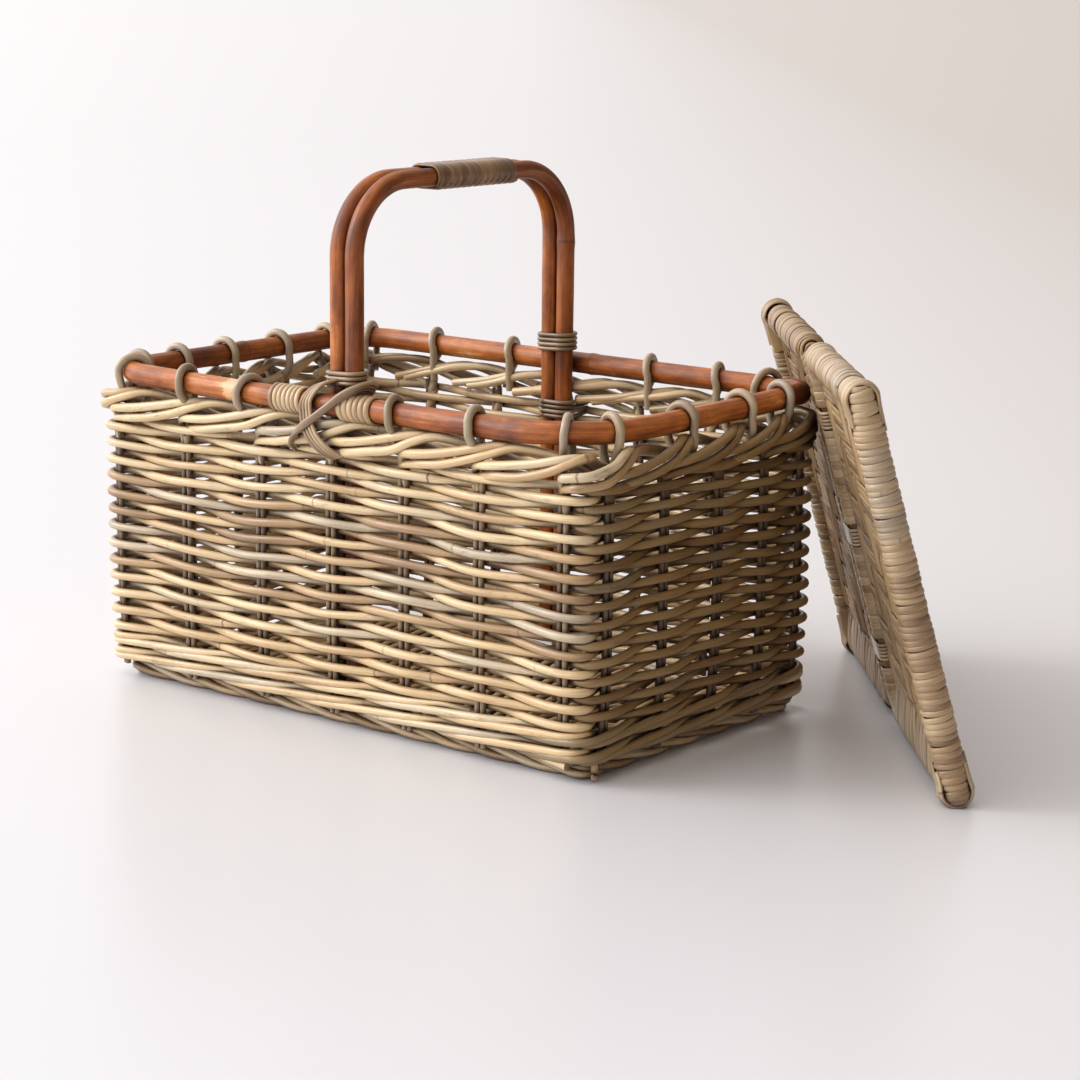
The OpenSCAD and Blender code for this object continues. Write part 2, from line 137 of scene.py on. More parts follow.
class Strands:
    """Collects swept canes, strips and poles, and turns them into one mesh."""

    def __init__(self):
        self.points, self.place, self.tone, self.cut = [], [], [], []
        self.faces, self.ngons, self.count = [], [], 0

    def add(self, line, wide, thick=None, normal=UP, tone=None, sides=10, square=2.0,
            taper=None, closed=False, knots=1.0, lean=0.0):
        """Sweeps a section along the line. wide is across the normal and thick along it;
        square above 2 flattens the section; taper scales it, ring by ring."""
        line = np.asarray(line, float)
        n_rings = len(line)
        if closed:
            tangent = unit(np.roll(line, -1, axis=0) - np.roll(line, 1, axis=0))
        else:
            tangent = unit(np.gradient(line, axis=0))
        normal = np.broadcast_to(np.asarray(normal, float), line.shape)
        normal = unit(normal - tangent * np.sum(normal * tangent, axis=1, keepdims=True))
        side = np.cross(tangent, normal)
        if lean:
            normal, side = (normal * math.cos(lean) + side * math.sin(lean),
                            side * math.cos(lean) - normal * math.sin(lean))
        along = np.concatenate([[0], np.cumsum(np.linalg.norm(np.diff(line, axis=0), axis=1))])
        along = along * rng.uniform(0.85, 1.2) + rng.uniform(0, 40) * KNOT_PERIOD
        from_knot = np.abs(np.mod(along / KNOT_PERIOD, 1) - 0.5) * KNOT_PERIOD
        scale = 1 + 0.13 * knots * rng.uniform(0.2, 1) * np.exp(-(from_knot / 3.6) ** 2)
        scale = (scale if taper is None else taper * scale)[:, None, None]
        turn = np.linspace(0, 2 * np.pi, sides, endpoint=False)
        x, y = (half * np.sign(v) * np.abs(v) ** (2 / square)
                for half, v in ((wide / 2, np.cos(turn)), ((thick or wide) / 2, np.sin(turn))))
        rings = line[:, None] + scale * (side[:, None] * x[:, None] + normal[:, None] * y[:, None])
        tone = np.asarray(rng.uniform(0, 1) if tone is None else tone, float)
        tone = np.broadcast_to(tone[:, None] if tone.ndim == 1 else tone, (n_rings, sides))
        place = np.stack(np.broadcast_arrays(along[:, None], x[None], y[None]), axis=2)
        base = self.count
        ring = np.arange(n_rings if closed else n_rings - 1)[:, None] * sides
        k = np.arange(sides)[None]
        k2 = (k + 1) % sides
        nxt = (ring + sides) % (n_rings * sides)
        self.faces.append((base + np.stack([ring + k, ring + k2, nxt + k2, nxt + k], axis=2))
                          .reshape(-1, 4))
        self._store(rings.reshape(-1, 3), place.reshape(-1, 3), tone.ravel(), 0)
        if closed:
            return
        for end, order in ((0, slice(None, None, -1)), (-1, slice(None))):
            start = self.count
            self._store(rings[end], place[end], tone[end], 1)
            self.ngons.append((start + np.arange(sides))[order])

    def _store(self, points, place, tone, cut):
        self.points.append(points)
        self.place.append(place)
        self.tone.append(tone)
        self.cut.append(np.full(len(points), float(cut)))
        self.count += len(points)

    def make(self, name, slot, material, *replaces, body="basket"):
        """Writes the mesh, in metres, and hangs it on its body in place of its CAD nodes."""
        quads = np.vstack(self.faces)
        sizes = np.concatenate([np.full(len(quads), 4), [len(g) for g in self.ngons]]).astype(int)
        corners = np.concatenate([quads.ravel(), *self.ngons]).astype(np.int32)
        mesh = bpy.data.meshes.new(name)
        mesh.vertices.add(self.count)
        mesh.vertices.foreach_set("co", (np.vstack(self.points) * MM).astype(np.float32).ravel())
        mesh.loops.add(len(corners))
        mesh.loops.foreach_set("vertex_index", corners)
        mesh.polygons.add(len(sizes))
        starts = np.concatenate([[0], np.cumsum(sizes)[:-1]]).astype(np.int32)
        mesh.polygons.foreach_set("loop_start", starts)
        mesh.polygons.foreach_set("use_smooth", sizes == 4)
        for label, kind, field, values in (
                ("place", "FLOAT_VECTOR", "vector", np.vstack(self.place) * MM),
                ("tone", "FLOAT", "value", np.concatenate(self.tone)),
                ("cut", "FLOAT", "value", np.concatenate(self.cut))):
            attribute = mesh.attributes.new(label, kind, "POINT")
            attribute.data.foreach_set(field, values.astype(np.float32).ravel())
        mesh.update(calc_edges=True)
        mesh.validate()
        mesh.materials.append(material)
        piece = bpy.data.objects.new(name, mesh)
        bpy.context.scene.collection.objects.link(piece)
        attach(piece, body)
        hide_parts(*replaces)
        return piece


# ---------- materials ----------

def srgb(r, g, b):
    """Linear colour of an 8-bit screen colour."""
    return tuple((c / 255 / 12.92 if c <= 10 else ((c / 255 + 0.055) / 1.055) ** 2.4)
                 for c in (r, g, b)) + (1.0,)


class Nodes:
    """Adds nodes to a tree by short calls. Each call returns an output socket."""

    def __init__(self, tree):
        self.tree = tree

    def put(self, socket, value):
        if isinstance(value, bpy.types.NodeSocket):
            self.tree.links.new(value, socket)
        elif value is not None:
            socket.default_value = value

    def node(self, kind, *values, output=0, **settings):
        """A node with these settings. values fill its inputs in order; None skips one."""
        node = self.tree.nodes.new("ShaderNode" + kind)
        for name, value in settings.items():
            setattr(node, name, value)
        for socket, value in zip(node.inputs, values):
            self.put(socket, value)
        return node.outputs[output]

    def math(self, operation, a, b=0.0, clamp=False):
        return self.node("Math", a, b, operation=operation, use_clamp=clamp)

    def dot(self, vector, direction):
        return self.node("VectorMath", vector, direction, output="Value", operation="DOT_PRODUCT")

    def noise(self, vector, stretch, scale=1.0, detail=3.0, roughness=0.6):
        """Noise at the vector stretched along its three axes."""
        vector = self.node("VectorMath", vector, stretch, operation="MULTIPLY")
        return self.node("TexNoise", vector, None, scale, detail, roughness, output="Fac")

    def remap(self, value, low, high, to_low=0.0, to_high=1.0):
        return self.node("MapRange", value, low, high, to_low, to_high)

    def spread(self, noise, to_low, to_high):
        """The usual range of a noise, spread from to_low to to_high."""
        return self.remap(noise, 0.3, 0.7, to_low, to_high)

    def mix(self, factor, a, b, blend="MIX"):
        return self.node("Mix", factor, *[None] * 5, a, b, output=2, data_type="RGBA",
                         blend_type=blend)

    def ramp(self, value, stops):
        node = self.tree.nodes.new("ShaderNodeValToRGB")
        elements = node.color_ramp.elements
        while len(elements) < len(stops):
            elements.new(0.5)
        for element, (position, colour) in zip(elements, stops):
            element.position = position
            element.color = srgb(*colour)
        self.put(node.inputs[0], value)
        return node.outputs[0]


class Look(Nodes):
    """A material with one shader."""

    def __init__(self, name):
        self.material = bpy.data.materials.new(name)
        self.material.use_nodes = True
        super().__init__(self.material.node_tree)
        self.tree.nodes.clear()
        self.shader = self.tree.nodes.new("ShaderNodeBsdfPrincipled")
        output = self.tree.nodes.new("ShaderNodeOutputMaterial")
        self.put(output.inputs[0], self.shader.outputs[0])

    def attribute(self, name, output="Fac"):
        return self.node("Attribute", output=output, attribute_name=name)

    def surface(self, colour, reach, roughness, height, distance):
        """Colour with painted shade in the gaps, from ambient occlusion up to reach wide, roughness, and
        relief.
        """
        # painted shade: ambient occlusion darkens the base colour in the gaps between canes, strips and
        # poles
        painted_shade = self.node("AmbientOcclusion", None, reach, output="AO", samples=6)
        painted_shade = self.ramp(painted_shade, [(0.12, (98, 66, 38)), (0.64, (255, 255, 255))])
        bump = self.tree.nodes.new("ShaderNodeBump")
        for socket, value in ((bump.inputs["Strength"], 0.35), (bump.inputs["Distance"], distance),
                              (bump.inputs["Height"], height),
                              (self.shader.inputs["Base Color"], self.mix(1.0, colour, painted_shade, "MULTIPLY")),
                              (self.shader.inputs["Roughness"], roughness),
                              (self.shader.inputs["Normal"], bump.outputs[0])):
            self.put(socket, value)


def knot_ring(look, place, half_width):
    """1 on the thin ring of a knot, 0 away from it."""
    wobble = look.noise(place, (0, 300, 300), detail=1)
    x = look.math("ADD", look.node("SeparateXYZ", place), look.math("MULTIPLY", wobble, 0.0016))
    part = look.math("FRACT", look.math("DIVIDE", x, KNOT_PERIOD * MM))
    distance = look.math("ABSOLUTE", look.math("SUBTRACT", part, 0.5))
    return look.remap(distance, half_width / KNOT_PERIOD, 0.3 * half_width / KNOT_PERIOD)


def cane_look(name, stops, knot=(74, 50, 32), cut=(205, 176, 132), rough=(0.34, 0.56), fibre=0.28,
              gloss=0.5, coat=0.45):
    """Split or round cane: its own tone, fine long fibres, blotches, dark knots, pale cut ends."""
    look = Look(name)
    place = look.attribute("place", "Vector")
    fibres = look.noise(place, (35, 1500, 1500), detail=4, roughness=0.65)
    blotch = look.noise(place, (14, 90, 90), detail=3, roughness=0.55)
    patch = look.noise(place, (5, 20, 20), detail=2, roughness=0.5)
    tone = look.math("ADD", look.attribute("tone"), look.spread(blotch, -0.12, 0.12))
    tone = look.math("ADD", tone, look.spread(patch, -0.12, 0.12), True)
    colour = look.ramp(tone, stops)
    colour = look.mix(1.0, colour, look.spread(fibres, 1 - fibre, 1 + 0.5 * fibre), "MULTIPLY")
    stain = look.noise(place, (55, 200, 200), detail=5, roughness=0.72)
    colour = look.mix(look.remap(stain, 0.58, 0.76, 0, 0.55), colour, srgb(*knot))
    mark = look.math("MULTIPLY", knot_ring(look, place, 1.2), look.remap(patch, 0.4, 0.6, 0.1, 0.8))
    colour = look.mix(mark, colour, srgb(*knot))
    grain = look.noise(place, (0, 2200, 2200), detail=2)
    cut_colour = look.mix(look.remap(grain, 0.35, 0.65), srgb(*cut), srgb(*[c * 0.62 for c in cut]))
    colour = look.mix(look.attribute("cut"), colour, cut_colour)
    look.surface(colour, 0.022, look.spread(fibres, rough[1], rough[0]),
                 look.math("SUBTRACT", fibres, look.math("MULTIPLY", mark, 0.8)), 0.0003)
    look.shader.inputs["Specular IOR Level"].default_value = gloss
    look.shader.inputs["Coat Weight"].default_value = coat
    look.shader.inputs["Coat Roughness"].default_value = 0.22
    return look.material


def pole_look(name, stops, dark, scar, cut, rough=(0.36, 0.56)):
    """Peeled pole with a thin stain: long grain, clouds, dark scuffs, pale scars, thin knots."""
    look = Look(name)
    place = look.attribute("place", "Vector")
    grain = look.noise(place, (16, 420, 420), detail=4, roughness=0.62)
    fine = look.noise(place, (60, 1800, 1800), detail=3)
    cloud = look.noise(place, (26, 70, 70), detail=4, roughness=0.6)
    tone = look.math("ADD", look.attribute("tone"), look.spread(cloud, -0.3, 0.3))
    tone = look.math("ADD", tone, look.spread(grain, -0.2, 0.2), True)
    colour = look.mix(1.0, look.ramp(tone, stops), look.spread(fine, 0.86, 1.08), "MULTIPLY")
    scuff = look.noise(place, (45, 120, 120), detail=6, roughness=0.75)
    colour = look.mix(look.remap(scuff, 0.60, 0.70, 0, 0.7), colour, srgb(*dark))
    pale = look.noise(place, (30, 75, 75), scale=1.3, detail=5, roughness=0.72)
    colour = look.mix(look.remap(pale, 0.66, 0.74, 0, 0.6), colour, srgb(*scar))
    mark = look.math("MULTIPLY", knot_ring(look, place, 1.3), 0.5)
    colour = look.mix(mark, colour, srgb(*dark))
    colour = look.mix(look.attribute("cut"), colour, srgb(*cut))
    dents = look.math("ADD", mark, look.math("MULTIPLY", scuff, 0.5))
    look.surface(colour, 0.03, look.spread(grain, rough[1], rough[0]),
                 look.math("SUBTRACT", grain, dents), 0.0005)
    look.shader.inputs["Coat Weight"].default_value = 0.12
    look.shader.inputs["Coat Roughness"].default_value = 0.3
    return look.material


def painted_shade_palette(stops, share):
    """The same colours, browner and darker: a copy of the palette with painted shade."""
    return [(place, tuple(c * share * k for c, k in zip(colour, (1.0, 0.93, 0.78))))
            for place, colour in stops]


CANE_COLOURS = [(0.0, (148, 114, 80)), (0.2, (182, 148, 104)), (0.42, (216, 184, 136)),
                (0.62, (228, 202, 157)), (0.82, (206, 188, 156)), (1.0, (172, 154, 130))]
STAKE_COLOURS = [(0.0, (126, 104, 80)), (0.5, (170, 146, 112)), (1.0, (150, 126, 104))]
WRAP_COLOURS = [(0.0, (128, 102, 74)), (0.3, (172, 142, 106)), (0.6, (196, 171, 134)),
                (0.85, (174, 155, 130)), (1.0, (146, 124, 95))]
PLAIT_COLOURS = [(0.0, (118, 92, 64)), (0.3, (168, 136, 98)), (0.6, (192, 162, 120)),
                 (0.85, (164, 144, 118)), (1.0, (140, 114, 84))]

WEAVING = cane_look("weaving_cane", CANE_COLOURS)
# painted shade: a darker, browner copy of the cane colours for the right wall, which faces away from the
# window
WEAVING_PAINTED_SHADE = cane_look("weaving_cane_painted_shade", painted_shade_palette(CANE_COLOURS, 0.68))
STAKE = cane_look("stake_cane", STAKE_COLOURS, rough=(0.38, 0.58))
# painted shade: a darker, browner copy of the stake colours for the right wall
STAKE_PAINTED_SHADE = cane_look("stake_cane_painted_shade", painted_shade_palette(STAKE_COLOURS, 0.72), rough=(0.38, 0.58))
LOOP = cane_look("loop_cane", [
    (0.0, (146, 126, 100)), (0.5, (188, 168, 136)), (1.0, (166, 150, 130))], rough=(0.36, 0.56))
LASHING = cane_look("lashing_cane", [
    (0.0, (100, 76, 54)), (0.5, (154, 126, 96)), (1.0, (190, 162, 126))], rough=(0.3, 0.5))
STRIP = cane_look("binding_strip", [
    (0.0, (112, 82, 54)), (0.4, (166, 134, 96)), (0.6, (194, 164, 122)), (1.0, (214, 186, 146))],
    rough=(0.32, 0.54))
LID_WRAP = cane_look("lid_wrap", WRAP_COLOURS, rough=(0.38, 0.6), fibre=0.3)
# painted shade: a darker, browner copy of the wrap colours for the far flap
FAR_WRAP_PAINTED_SHADE = cane_look("lid_wrap_painted_shade", painted_shade_palette(WRAP_COLOURS, 0.86), rough=(0.38, 0.6), fibre=0.3)
LID_PLAIT = cane_look("lid_plait", PLAIT_COLOURS, rough=(0.45, 0.66), fibre=0.34,
                      gloss=0.3, coat=0.0)
# painted shade: a darker, browner copy of the plait colours for the far flap
FAR_PLAIT_PAINTED_SHADE = cane_look("lid_plait_painted_shade", painted_shade_palette(PLAIT_COLOURS, 0.82), rough=(0.45, 0.66), fibre=0.34,
                      gloss=0.25, coat=0.0)
POLE = pole_look("stained_pole", [
    (0.0, (90, 42, 15)), (0.3, (138, 70, 24)), (0.65, (184, 104, 38)), (0.85, (204, 126, 58)),
    (1.0, (232, 182, 134))],
    dark=(66, 32, 18), scar=(226, 180, 134), cut=(150, 100, 60))
LID_POLE = pole_look("lid_pole", [
    (0.0, (130, 100, 68)), (0.5, (176, 144, 102)), (1.0, (196, 168, 126))],
    dark=(90, 66, 42), scar=(212, 186, 148), cut=(200, 172, 132))


# ---------- walls ----------

WALL_T = 15.0
weave_low, weave_high = box_mm("front_weave")
# Corner radii of the wall's middle: right front, right back where the lid leans, left back, left front
WALL_RADII = [10.5, 22.5, 10.5, 10.5]
WALL = RoundedLoop(weave_high[0] - WALL_T / 2, -weave_low[1] - WALL_T / 2, WALL_RADII)
WEAVE_LOW, WEAVE_TOP = weave_low[2], weave_high[2]
STAKE_D = 4.5
STAKE_GAP = 0.4
half_wall = np.array([WALL.line[:, 0].max(), WALL.line[:, 1].max()])
# Where the pairs of stakes stand along each wall
FRONT_PLACES = (-221, -147, -71, -2, 67, 135, 208)
RIGHT_PLACES = (-110, -48, 15, 70, 118)
BACK_PLACES = (196, 134, 68, -2, -72, -141, -208)
LEFT_PLACES = (108, 54, 0, -52, -104)
STAKE_PLACES = ([(x, -half_wall[1]) for x in FRONT_PLACES] + [(half_wall[0], y) for y in RIGHT_PLACES]
                + [(x, half_wall[1]) for x in BACK_PLACES] + [(-half_wall[0], y) for y in LEFT_PLACES])
PAIRS = len(STAKE_PLACES)
stake_s = np.array([WALL.find(*p) for p in STAKE_PLACES])
stake_s[0] -= WALL.length if stake_s[0] > stake_s[1] else 0     # the first pair stands in the corner
TAU = np.arange(-3, PAIRS + 3)
TAU_S = np.concatenate([stake_s[-3:] - WALL.length, stake_s, stake_s[:3] + WALL.length])
# First and last stake pair of each side
SIDES = {"front": (0, 6), "right": (7, 11), "back": (12, 18), "left": (19, 23)}


def inset(z):
    """The wall leans in a little near the floor."""
    return 3.6 * ease((90 - np.asarray(z, float)) / 90)


def sway(s, z):
    """Slow rise and fall of the rows along the wall."""
    free = np.clip(np.sin(np.pi * (z - WEAVE_LOW) / (WEAVE_TOP - WEAVE_LOW)), 0, 1) ** 0.5
    turns = 2 * np.pi * s / WALL.length
    return free * (1.5 * np.sin(5 * turns + z / 60) + 0.8 * np.sin(13 * turns - z / 35 + 1.3))


def wall_points(tau, offset, z):
    """Points of the wall at stake count tau, offset outward from its middle, at height z."""
    s = np.interp(tau, TAU, TAU_S)
    p, n = WALL.at(s)
    z = np.broadcast_to(np.asarray(z, float), s.shape)
    z = z + sway(s, z)
    return columns(p + n * (offset - inset(z))[:, None], z)


def steps_between(a, b):
    """Stake counts from a to b, about one step of the wall apart."""
    length = abs(np.interp(b, TAU, TAU_S) - np.interp(a, TAU, TAU_S))
    return np.linspace(a, b, max(6, math.ceil(length / STEP) + 1))


def inside_stakes(side, inside):
    """Stake counts where this side's canes begin and end: the nearest ones to its two
    corners at which the cane runs inside the wall."""
    first, last = SIDES[side]
    counts = [t for t in range(first - 3, last + 4) if inside(t)]
    return [min(counts, key=lambda t: abs(t - corner)) for corner in (first - 0.5, last + 0.5)]


ROWS = 26
ROW_LOW, ROW_HIGH = 39.2, 199.8
CANE_D = 6.3
TUCK = 1.6                 # how far a row's two ends shift in and down or up, past the corner


def plain_weave(side):
    """Rows of single cane, in front of one stake pair and behind the next."""
    canes = Strands()
    for row in range(ROWS):
        z = ROW_LOW + (ROW_HIGH - ROW_LOW) * row / (ROWS - 1)
        a, b = inside_stakes(side, lambda t: (t + row) % 2 == 1)
        tau = steps_between(a - rng.uniform(0.1, 0.2), b + rng.uniform(0.1, 0.2))
        d = CANE_D * rng.uniform(0.92, 1.06)
        swing = STAKE_D / 2 + d / 2 + 0.1
        offset = swing * np.cos(np.pi * (tau + row))
        near_end = np.maximum(ease((a + 0.3 - tau) / 0.4), ease((tau - b + 0.3) / 0.4))
        lift = np.where(tau < (a + b) / 2, -TUCK, TUCK) * near_end
        wobble = 0.35 * np.sin(2.1 * tau + rng.uniform(0, 6))
        wobble = wobble + 0.3 * np.sin(0.9 * tau + rng.uniform(0, 6))
        canes.add(wall_points(tau, offset - TUCK * near_end, z + lift + wobble), d, tone=cane_tone())
    return canes


def cane_tone():
    """Most canes are pale tan, some are grey or brown."""
    return float(np.clip(rng.normal(0.52, 0.2), 0.02, 0.98))


WALE_D = 5.8
WALE_ROUNDS = (18.4, 30.0)


def three_rod_wale(side):
    """Two rounds of three canes, each over two stake pairs and behind one."""
    canes = Strands()
    for z in WALE_ROUNDS:
        for strand in range(3):
            a, b = inside_stakes(side, lambda t: (t - strand) % 3 == 0)
            tau = steps_between(a - rng.uniform(0.1, 0.2), b + rng.uniform(0.1, 0.2))
            phase = np.mod(tau - strand, 3)
            out = ease(phase) * ease(3 - phase)
            rise = np.interp(phase, [0, 0.5, 2.5, 3], [0, -4.0, 4.0, 0])
            canes.add(wall_points(tau, -5.2 + 11.0 * out, z + rise), WALE_D * rng.uniform(0.94, 1.06),
                      tone=cane_tone())
    return canes


def folded_border(side):
    """Each pair of stake tops bends over to the right, lies outside up to the next pair,
    crosses in over it and ends inside."""
    canes = Strands()
    first, last = SIDES[side]
    ahead = np.array([0.0, -0.02, -0.02, 0.06, 0.2, 0.46, 0.78, 1.06, 1.3, 1.62, 2.0, 2.45])
    out = np.array([-1.0, -1.2, 0.6, 5.2, 8.4, 9.6, 9.2, 7.0, 0.8, -6.0, -9.0, -10.0])
    height = np.array([190.0, 199.0, 204.6, 208.2, 209.4, 211.6, 216.0, 220.2, 222.2, 219.6, 214.0,
                       208.0])
    for pair in range(first, last + 1):
        for lower in (0, 1):
            shift = 0.14 * lower * ease((ahead + 0.02) / 0.08) + rng.uniform(-0.03, 0.03)
            end = rng.uniform(-0.25, 0.25) * ease((ahead - 1.4) / 1.0)
            drop = (6.4 - 1.2 * ahead) * lower * ease((1.34 - ahead) / 0.6)
            rise = rng.uniform(-0.8, 0.8, len(ahead)) * ease((ahead - 0.1) / 0.3)
            line = wall_points(pair + ahead + shift + end, out + 0.6 * rise, height - drop + rise)
            canes.add(smooth_line(line), CANE_D * rng.uniform(0.95, 1.1), tone=cane_tone(), sides=12)
    return canes


def stake_pairs(side):
    canes = Strands()
    first, last = SIDES[side]
    for pair in range(first, last + 1):
        for hand in (-1, 1):
            heights = np.linspace(9, 207, 12)
            shift = hand * (STAKE_D + STAKE_GAP) / 2
            s = stake_s[pair] + shift + rng.normal(0, 0.25, len(heights))
            p, n = WALL.at(s)
            line = columns(p - n * inset(heights)[:, None], heights)
            canes.add(smooth_line(line, 6), STAKE_D * rng.uniform(0.92, 1.04),
                      normal=np.append(n[0], 0))
    return canes


for side in SIDES:
    # the right wall takes the copies with painted shade
    cane, stake = (WEAVING_PAINTED_SHADE, STAKE_PAINTED_SHADE) if side == "right" else (WEAVING, STAKE)
    for build, part, slot, look, node in (
            (plain_weave, "wall", "weaving_cane", cane, "weave"),
            (three_rod_wale, "wale", "weaving_cane", cane, "waling"),
            (folded_border, "border", "weaving_cane", cane, "border"),
            (stake_pairs, "stake", "stake_cane", stake, "stakes")):
        build(side).make(f"{side}_{part}_canes", slot, look, f"{side}_{node}")


# ---------- foot and base ----------

FOOT_D, FOOT_TWIST = 5.6, 112.0     # the foot's canes, and the length of one turn of the three
STICK_D, STICK_PITCH = 4.2, 45.0
BASE_D, BASE_PITCH = 4.6, 5.2
BASE_MIDDLE = 6.6


def foot_rope():
    """Three canes twisted together round the foot."""
    low, high = box_mm("foot_border")
    height = high[2] - low[2]
    loop = RoundedLoop(high[0] - 6.5, high[1] - 6.5, [7.5] * 4)
    canes = Strands()
    s = np.linspace(0, loop.length, int(loop.length / STEP), endpoint=False)
    p, n = loop.at(s)
    turns = round(loop.length / FOOT_TWIST)
    for strand in range(3):
        angle = 2 * np.pi * (strand / 3 - turns * s / loop.length)
        out, rise = 3.2 * np.cos(angle), 3.0 * np.sin(angle)
        canes.add(columns(p + n * out[:, None], height / 2 + rise), FOOT_D, closed=True,
                  tone=cane_tone())
    # the ends of the wall's canes come out at the near corner
    canes.add(smooth_line([(180, -129, 15), (198, -133.5, 13.5), (214, -134.5, 11.5)]), 6.6, tone=0.6)
    canes.add(smooth_line([(227, -121, 2), (227, -121, 9), (226.5, -121.5, 16)]), 5.0, tone=0.2)
    return canes


def base_stick_pairs():
    low, high = box_mm("base_sticks")
    canes = Strands()
    for k in range(-2, 3):
        for hand in (-1, 1):
            x = np.linspace(low[0], high[0], 9)
            y = k * STICK_PITCH + hand * 2.2 + rng.normal(0, 0.15, len(x))
            canes.add(smooth_line(columns(x, y, BASE_MIDDLE), 6), STICK_D)
    return canes


def base_weavers():
    """Canes across the base, over one stick pair and under the next."""
    low, high = box_mm("base_weave")
    canes = Strands()
    count = int((high[0] - low[0] - 6) / BASE_PITCH)
    for k in range(count):
        x = (k - (count - 1) / 2) * BASE_PITCH
        y = np.arange(low[1] + 2, high[1] - 2, 4.0)
        z = BASE_MIDDLE + 3.7 * np.cos(np.pi * (y / STICK_PITCH + k))
        sway_x = x + 0.5 * np.sin(y / 31 + k / 9)
        canes.add(columns(sway_x, y, z), BASE_D, sides=8, tone=cane_tone())
    return canes


foot_rope().make("foot_border_canes", "weaving_cane", WEAVING, "foot_border")
base_stick_pairs().make("base_stick_canes", "stake_cane", STAKE, "base_sticks")
base_weavers().make("base_canes", "weaving_cane", WEAVING, "base_weave")


# ---------- rim ----------

rim_low, rim_high = box_mm("rim_pole")
RIM_D = rim_high[2] - rim_low[2]
RIM_Z = (rim_low[2] + rim_high[2]) / 2
RIM_X, RIM_Y = rim_high[0] - RIM_D / 2, rim_high[1] - RIM_D / 2
RIM_RADII = [55.0, 18.0, 40.0, 34.0]       # right front, right back, left back, left front
RIM = RoundedLoop(RIM_X, RIM_Y, RIM_RADII)


def rim_height(p):
    """The pole sags a little in the middle of its front and right sides."""
    front = np.clip(1 - (p[:, 0] / 200) ** 2, 0, 1) * ease((-p[:, 1] - 60) / 60)
    right = np.clip(1 - (p[:, 1] / 120) ** 2, 0, 1) * ease((p[:, 0] - 150) / 60)
    return RIM_Z - 1.8 * front - 1.8 * right


def rim_pole():
    """One pole bent round the top; its pared ends lap at the right back corner."""
    lap = 26.0
    start = RIM.find(RIM_X - RIM_RADII[1], RIM_Y) - 4
    s = np.arange(start, start + RIM.length + lap, STEP)
    p, n = RIM.at(s)
    rest = s[-1] - s
    last = ease(rest / lap)                     # 0 at the end that laps over
    first = ease((s - start) / lap)             # 0 at the end that lies under
    radius = RIM_D / 2 * (0.45 + 0.55 * np.minimum(last, first))
    shift = (RIM_D / 2 - radius) * np.where(rest < 2 * lap, 0.9, -0.9)
    line = columns(p + n * shift[:, None], rim_height(p) + 0.4 * shift)
    poles = Strands()
    front = line[:, 1] < -RIM_Y + 3
    scar = np.exp(-((line[:, 0] + 94) / 5) ** 2) * front
    scuff = np.exp(-((line[:, 0] - 168) / 5) ** 2) * front
    tone = 0.5 + 0.12 * np.sin(s / 70) + 0.6 * scar - 0.2 * scuff
    poles.add(line, RIM_D, tone=tone, sides=24, taper=radius / (RIM_D / 2), knots=0.6)
    return poles


LOOP_D = 6.2


def rim_loops(places, wall_gap):
    """Canes that tie the rim down: up out of the border, over the rim, back inside.
    Each place is (distance along the rim, slant). wall_gap is how far the wall's middle
    lies outside the rim's."""
    canes = Strands()
    reach = RIM_D / 2 + LOOP_D / 2 + 0.1
    for s, slant in places:
        p, n = RIM.at(np.array([s]))
        along = np.array([-n[0, 1], n[0, 0]])
        z0 = rim_height(p)[0]
        turn = np.radians(np.linspace(4, 196, 12))
        out = reach * np.cos(turn)
        rise = z0 + reach * np.sin(turn)
        out = np.concatenate([[wall_gap + 0.5, wall_gap + 4.6, reach - 1.2], out,
                              [0.6 - reach, wall_gap - 7.5]])
        rise = np.concatenate([[208, 219, z0 - 7], rise, [219, 208]])
        share = np.concatenate([[-0.5] * 3, np.linspace(-0.5, 0.5, len(turn)), [0.5] * 2])
        centre = p[0] + along * (share * slant)[:, None] + n[0] * out[:, None]
        canes.add(smooth_line(columns(centre, rise), 2), LOOP_D * rng.uniform(0.9, 1.03),
                  normal=np.append(along, 0), sides=12, tone=rng.uniform(0.1, 0.95))
    return canes


def beside(side, places):
    """Distances along the rim for places along one straight side."""
    if side in ("front", "back"):
        return [RIM.find(x, -RIM_Y if side == "front" else RIM_Y) for x in places]
    return [RIM.find(RIM_X if side == "right" else -RIM_X, y) for y in places]


def with_slant(distances, slants):
    return [(s, slant + rng.uniform(-1.5, 1.5)) for s, slant in zip(distances, slants)]


# How far the wall's middle lies outside the rim's: long sides, ends and corners
FRONT_GAP = half_wall[1] - RIM_Y
END_GAP = half_wall[0] - RIM_X
CORNER_GAP = 2.0
# Right back, left back, left front and right front corner of the rim, each with its radius
CORNERS = list(zip((RIM_X, -RIM_X, -RIM_X, RIM_X), (RIM_Y, RIM_Y, -RIM_Y, -RIM_Y),
                   RIM_RADII[1:] + RIM_RADII[:1]))
CORNER_PLACES = [(0, 0, -20), (0, 90, 20), (1, 32, 0), (1, 90, 0),
                 (2, 15, 0), (2, 60, 0), (3, 40, 0), (3, 72, 0)]
CORNER_SLANTS = (8, 8, 6, 0, 4, 4, 6, 2)


def corner_distance(corner, angle, slide):
    """Distance along the rim of the point at this angle round a corner, slid along by slide."""
    x, y, r = CORNERS[corner]
    turn = math.radians(90 * corner + angle)
    return RIM.find(x - math.copysign(r, x) + r * math.cos(turn),
                    y - math.copysign(r, y) + r * math.sin(turn)) + slide


